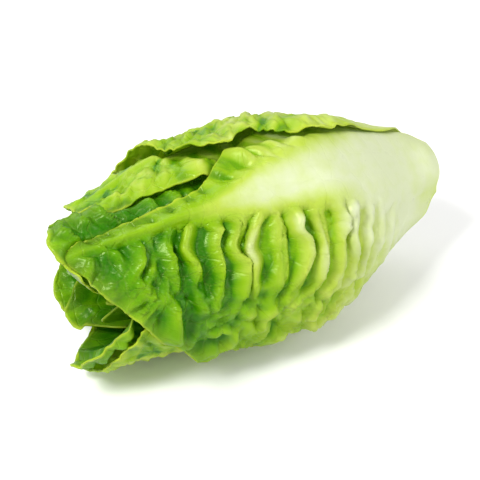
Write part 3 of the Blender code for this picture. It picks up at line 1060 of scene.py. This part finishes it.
@dataclass
class StemCore:
    """The cut stem: a short turned stump with a domed cut face and a beige ring near its rim."""

    collar: float = 0.0148      # radius of the stubs of trimmed leaves round the cut face
    core: float = 0.0128        # radius of the core, for the colours of the cut face
    sides: int = 96
    grain: float = 420.0        # scale of its mottle
    roughness: float = 0.42
    bump: float = 0.35          # strength of its fine relief
    bump_height: float = 0.0003

    def build(self, form: HeadForm) -> bpy.types.Object:
        """Spins the stump's profile round the head's axis.

        Args:
            form: the head's form, for its axis.

        Returns:
            The stump.
        """
        profile = [(0.0, 0.0), (0.004, 0.0), (0.008, 0.0001), (0.0106, 0.0003), (0.0120, 0.0008),
                   (self.collar - 0.0012, 0.0016), (self.collar - 0.0002, 0.0028), (self.collar, 0.0044),
                   (self.collar - 0.0004, 0.0062), (self.core, 0.0095)]
        profile += [(radius, distance) for distance, radius in CORE[2:-1]] + [(0.0, CORE[-1][0])]
        shape = bmesh.new()
        row = [shape.verts.new((form.butt - distance, form.axis_y, form.axis_z + radius))
               for radius, distance in profile]
        edges = [shape.edges.new(pair) for pair in zip(row, row[1:])]
        bmesh.ops.spin(shape, geom=row + edges, cent=(0.0, form.axis_y, form.axis_z), axis=(1.0, 0.0, 0.0),
                       angle=2 * math.pi, steps=self.sides, use_merge=True)
        bmesh.ops.remove_doubles(shape, verts=shape.verts, dist=0.00001)
        bmesh.ops.recalc_face_normals(shape, faces=shape.faces)
        self.put_in_order(shape, form)
        mesh = as_mesh(shape, "cut_stem")
        mesh.shade_smooth()
        return placed("cut_stem", mesh)

    @staticmethod
    def put_in_order(shape: bmesh.types.BMesh, form: HeadForm) -> None:
        """Numbers the vertices and faces the same way each run, since the spin does not.

        Args:
            shape: the stump.
            form: the head's form, for its axis.
        """
        def number(place: Vector) -> float:
            """A number of its own for each place along and round the stump."""
            return place.x * 1000.0 + math.atan2(place.z - form.axis_z, place.y - form.axis_y)

        shape.verts.sort(key=lambda vert: number(vert.co))
        shape.verts.index_update()
        shape.faces.sort(key=lambda face: number(face.calc_center_median()))
        shape.faces.index_update()

    def material(self, form: HeadForm) -> bpy.types.Material:
        """Moist cream tissue with a faint mottle and a beige ring near the rim."""
        made, nodes, shader = plain_material("stem")
        place = nodes.add("ShaderNodeTexCoord").outputs["Object"]
        centred = nodes.add("ShaderNodeMapping")
        centred.inputs["Location"].default_value = (-form.butt, -form.axis_y, -form.axis_z)
        nodes.join(place, centred.inputs["Vector"])
        parts = nodes.add("ShaderNodeSeparateXYZ")
        nodes.join(centred.outputs[0], parts.inputs[0])
        square = [nodes.math("POWER", nodes.math("ABSOLUTE", parts.outputs[axis]), 2.0) for axis in "YZ"]
        wide = nodes.math("SQRT", nodes.math("ADD", *square))
        radius = nodes.math("MULTIPLY", wide, 1 / self.core)
        mottle = nodes.noise(centred.outputs[0], self.grain, 4.0, "3D").outputs["Fac"]
        wave = nodes.math("MULTIPLY", nodes.math("SUBTRACT", mottle, 0.5), 0.16)
        colour = nodes.ramp(nodes.math("ADD", radius, wave), STEM_COLOURS)
        nodes.join(colour, shader.inputs["Base Color"])
        shader.inputs["Roughness"].default_value = self.roughness
        nodes.join(nodes.bump(mottle, self.bump, self.bump_height), shader.inputs["Normal"])
        return made


@dataclass(frozen=True)
class Lamp:
    """A square lamp that points at the head."""

    name: str
    place: tuple[float, float, float]
    size: float
    power: float


@dataclass
class Studio:
    """A pale floor, soft light and the camera."""

    lamps: tuple[Lamp, ...] = (
        Lamp("key", (-0.60, -0.22, 0.80), 0.26, 8.5),
        Lamp("back", (-0.15, 0.80, 0.70), 0.8, 4.0),
        Lamp("right", (0.70, -0.70, 0.60), 0.6, 5.0))
    aimed_at: tuple[float, float, float] = (0.0, 0.0, 0.04)       # where the lamps point
    surround: float = 0.60      # strength of the even light from all round
    floor_size: float = 6.0
    floor_grey: float = 0.93
    floor_roughness: float = 0.8
    lens: float = 85.0
    azimuth: float = -30.0
    elevation: float = 35.0
    distance: float = 0.4959
    aim: tuple[float, float, float] = (-0.09627, 0.0, -0.00448)   # from the middle of the butt

    def floor(self) -> bpy.types.Object:
        """A plain pale floor under the head."""
        shape = bmesh.new()
        bmesh.ops.create_grid(shape, x_segments=1, y_segments=1, size=self.floor_size / 2)
        mesh = as_mesh(shape, "floor")
        paint, _, shader = plain_material("floor")
        grey = self.floor_grey
        shader.inputs["Base Color"].default_value = (grey, grey, grey, 1.0)
        shader.inputs["Roughness"].default_value = self.floor_roughness
        mesh.materials.append(paint)
        return placed("floor", mesh)

    def lights(self) -> None:
        """An even white surround, and soft lamps from the upper left, from behind and from the right."""
        world = bpy.data.worlds.new("surround")
        world.use_nodes = True
        sky = world.node_tree.nodes["Background"]
        sky.inputs["Color"].default_value = (1.0, 1.0, 1.0, 1.0)
        sky.inputs["Strength"].default_value = self.surround
        bpy.context.scene.world = world
        for lamp in self.lamps:
            light = bpy.data.lights.new(lamp.name, "AREA")
            light.size = lamp.size
            light.energy = lamp.power
            made = placed(lamp.name, light)
            made.location = lamp.place
            toward = Vector(self.aimed_at) - Vector(lamp.place)
            made.rotation_euler = toward.to_track_quat("-Z", "Y").to_euler()

    def camera(self, form: HeadForm) -> None:
        """The camera, above the front left of the head.

        Args:
            form: the head's form, for its axis.
        """
        lens = bpy.data.cameras.new("camera")
        lens.lens = self.lens
        made = placed("camera", lens)
        turn, rise = math.radians(self.azimuth), math.radians(self.elevation)
        back = Vector((math.sin(turn) * math.cos(rise), -math.cos(turn) * math.cos(rise), math.sin(rise)))
        target = Vector((form.butt, form.axis_y, form.axis_z)) + Vector(self.aim)
        made.location = target + back * self.distance
        made.rotation_euler = (-back).to_track_quat("-Z", "Y").to_euler()
        bpy.context.scene.camera = made


def main() -> None:
    """Loads the frame, builds every leaf and the stem, and sets up the studio."""
    logging.basicConfig(level=logging.INFO, format="%(message)s")
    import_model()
    form = HeadForm(LEAVES)
    studio = Studio()
    studio.camera(form)
    studio.lights()
    studio.floor()
    tissue = leaf_tissue_group()
    materials = {kind: finish.material(tissue) for kind, finish in FINISHES.items()}
    for leaf in LEAVES:
        made = LeafMaker(leaf, form).build()
        made.data.materials.append(materials[leaf.kind])
        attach(made, "root")
        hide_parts(leaf.name)
        LOG.info("built %s with %d faces", leaf.name, len(made.data.polygons))
    core = StemCore()
    stump = core.build(form)
    stump.data.materials.append(core.material(form))
    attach(stump, "root")
    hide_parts("stem_core")
    LOG.info("built %s", stump.name)
    bpy.context.scene.view_settings.view_transform = "Standard"


if __name__ == "__main__":
    main()
